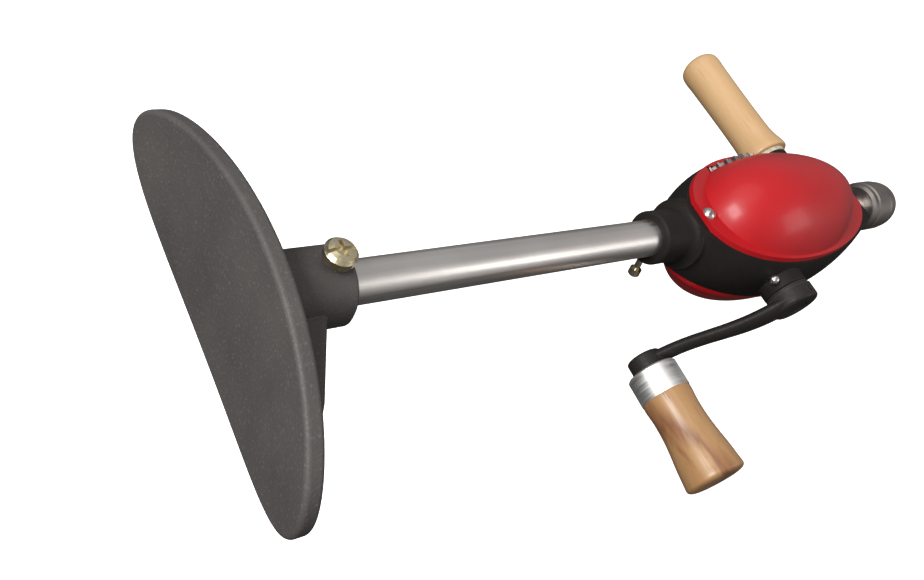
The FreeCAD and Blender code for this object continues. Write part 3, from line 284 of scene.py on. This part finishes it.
ARM = coated_iron("arm_coat", (0.014, 0.012, 0.012), (0.022, 0.019, 0.018), (0.09, 0.085, 0.08),
                  grain=1100.0)
# Nodes that look unlike the rest of their material slot.
SPECIAL = {"breast_plate": PLATE, "crank_arm": ARM, "crank_axle": ARM, "crank_pin": ARM,
           "crank_washer": ARM}

for subpart in frame["record"]["subparts"]:
    node = frame["nodes"][subpart["node"]]
    material = SPECIAL.get(subpart["node"], FINISHES[subpart["material_slot"]])
    node.data.materials.clear()
    node.data.materials.append(material)


# ---------------------------------------------------------------- turned pieces

def put(name, data):
    """A new object in the scene that holds the data."""
    holder = bpy.data.objects.new(name, data)
    bpy.context.scene.collection.objects.link(holder)
    return holder


def smooth_profile(points, steps):
    """A Catmull-Rom line through (along, radius) points."""
    ends = [points[0], *points, points[-1]]
    line = []
    for before, start, finish, after in zip(ends, ends[1:], ends[2:], ends[3:]):
        for step in range(steps):
            t = step / steps
            line.append(tuple(
                0.5 * (2 * b + (c - a) * t + (2 * a - 5 * b + 4 * c - d) * t ** 2
                       + (3 * b - a - 3 * c + d) * t ** 3)
                for a, b, c, d in zip(before, start, finish, after)))
    return line + [points[-1]]


def lathe_along_y(name, centre, profile, material, body, replaced):
    """A closed turned piece whose axis runs along Y through the centre."""
    mesh = bmesh.new()
    rings = []
    for along, radius in profile:
        ring = []
        for turn in range(TURNS):
            angle = 2 * math.pi * turn / TURNS
            ring.append(mesh.verts.new((centre.x + radius * math.cos(angle), along,
                                        centre.z + radius * math.sin(angle))))
        rings.append(ring)
    for first, second in zip(rings, rings[1:]):
        for turn in range(TURNS):
            after = (turn + 1) % TURNS
            mesh.faces.new((first[turn], first[after], second[after], second[turn]))
    mesh.faces.new(rings[0])
    mesh.faces.new(rings[-1])
    bmesh.ops.recalc_face_normals(mesh, faces=mesh.faces[:])
    data = bpy.data.meshes.new(name)
    mesh.to_mesh(data)
    mesh.free()
    piece = put(name, data)
    for face in data.polygons:
        face.use_smooth = len(face.vertices) == 4
    data.materials.append(material)
    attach(piece, body)
    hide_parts(replaced)


def crank_grip():
    """The waisted wooden grip that turns on the crank's pin."""
    radius = (grip_high.x - grip_low.x) / 2
    waist = radius - 0.0028
    end = grip_low.y
    length = ferrule_edge - end
    outline = [(0.0, 0.0119), (0.06, 0.01195), (0.2, waist), (0.38, waist + 0.0001),
               (0.55, waist + 0.0008), (0.72, waist + 0.0018), (0.86, radius - 0.0004),
               (0.945, radius - 0.00005), (0.975, radius - 0.0006), (0.992, radius - 0.002),
               (1.0, radius - 0.0036)]
    profile = [(ferrule_edge - share * length, r) for share, r in outline]
    lathe_along_y("crank_grip_turned", grip_middle, smooth_profile(profile, STEPS), FINISHES["grip_wood"],
                  "grip", "crank_grip")


def side_handle():
    """The straight wooden handle with a flared foot and a rounded end."""
    low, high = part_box("side_handle_grip")
    radius = (high.x - low.x) / 2
    length = high.y - low.y
    outline = [(0.0, radius - 0.001), (0.012, radius - 0.0001), (0.05, radius - 0.0003),
               (0.10, radius - 0.0011), (0.17, radius - 0.0018), (0.28, radius - 0.002),
               (0.5, radius - 0.0020), (0.8, radius - 0.0017), (0.9, radius - 0.0015),
               (0.95, radius - 0.0020), (0.98, radius - 0.0038), (0.995, radius - 0.0065),
               (1.0, radius - 0.0095)]
    profile = [(low.y + share * length, r) for share, r in outline]
    lathe_along_y("side_handle_turned", (low + high) / 2, smooth_profile(profile, STEPS),
                  FINISHES["handle_wood"], "frame", "side_handle_grip")


crank_grip()
side_handle()


# ---------------------------------------------------------------- floor, light, camera

def floor(height):
    """White paper far below, which throws no light back up."""
    finish = Finish("floor_paper", roughness=0.9, specular=0.1)
    tone = finish.noise(3.0, detail=2.0)
    finish.colour(finish.mix(tone, (0.93, 0.93, 0.93), (0.96, 0.96, 0.96)))
    finish.shader.inputs["Emission Color"].default_value = (0.95, 0.95, 0.95, 1.0)
    finish.shader.inputs["Emission Strength"].default_value = 0.75
    bpy.ops.mesh.primitive_plane_add(size=8.0, location=(0.0, 0.0, height))
    paper = bpy.context.object
    paper.name = "floor"
    paper.data.materials.append(finish.material)
    paper.visible_diffuse = False
    paper.visible_glossy = False


def soft_light(name, place, target, size, power, tone=(1.0, 1.0, 1.0)):
    """A rectangular lamp aimed at the target."""
    lamp = bpy.data.lights.new(name, "AREA")
    lamp.shape = "RECTANGLE"
    lamp.size, lamp.size_y = size
    lamp.energy = power
    lamp.color = tone
    holder = put(name, lamp)
    holder.location = place
    holder.rotation_euler = (Vector(target) - Vector(place)).to_track_quat("-Z", "Y").to_euler()


def sky(above, below):
    """White light from above that fades to a dark room below."""
    world = bpy.data.worlds.new("studio")
    world.use_nodes = True
    tree = world.node_tree
    background = tree.nodes["Background"]
    background.inputs["Color"].default_value = (1.0, 0.99, 0.975, 1.0)
    direction = tree.nodes.new("ShaderNodeTexCoord")
    parts = tree.nodes.new("ShaderNodeSeparateXYZ")
    fade = tree.nodes.new("ShaderNodeMapRange")
    set_range(fade, -0.35, 0.45, below, above)
    tree.links.new(direction.outputs["Generated"], parts.inputs["Vector"])
    tree.links.new(parts.outputs["Z"], fade.inputs["Value"])
    tree.links.new(fade.outputs["Result"], background.inputs["Strength"])
    bpy.context.scene.world = world


def overhead(strength, spread):
    """A wide sun from above and a little behind."""
    lamp = bpy.data.lights.new("overhead", "SUN")
    lamp.energy = strength
    lamp.angle = spread
    holder = put("overhead", lamp)
    holder.rotation_euler = (math.radians(-18), math.radians(-22), 0.0)


def camera(axle):
    """The view: high behind the breast plate, on the crank's side."""
    right = Vector((0.791, -0.431, 0.435)).normalized()
    back = Vector((-0.597, -0.387, 0.703))
    back = (back - right * back.dot(right)).normalized()
    up = back.cross(right)
    lens = bpy.data.cameras.new("camera")
    lens.sensor_width = 36.0
    lens.lens = 35.42
    lens.clip_start = 0.01
    holder = put("camera", lens)
    turn = Matrix((right, up, back)).transposed().to_4x4()
    holder.matrix_world = Matrix.Translation(axle + Vector((-0.3680, -0.1363, 0.2297))) @ turn
    bpy.context.scene.camera = holder


axle = Vector(next(j for j in frame["joints"] if j["name"] == "crank_turn")["pos_m"])
floor(cad_low.z - FLOOR_DROP)
sky(0.42, 0.06)
overhead(0.6, math.radians(50))
soft_light("softbox_rear", axle + Vector((-0.85, -0.05, 0.55)), axle - Vector((0.15, 0.0, 0.0)),
           (0.55, 0.35), 11.0)
soft_light("softbox_side", axle + Vector((0.5, -0.6, 0.5)), axle, (0.4, 0.4), 1.5, (1.0, 0.98, 0.95))
camera(axle)
bpy.context.scene.view_settings.view_transform = "Standard"
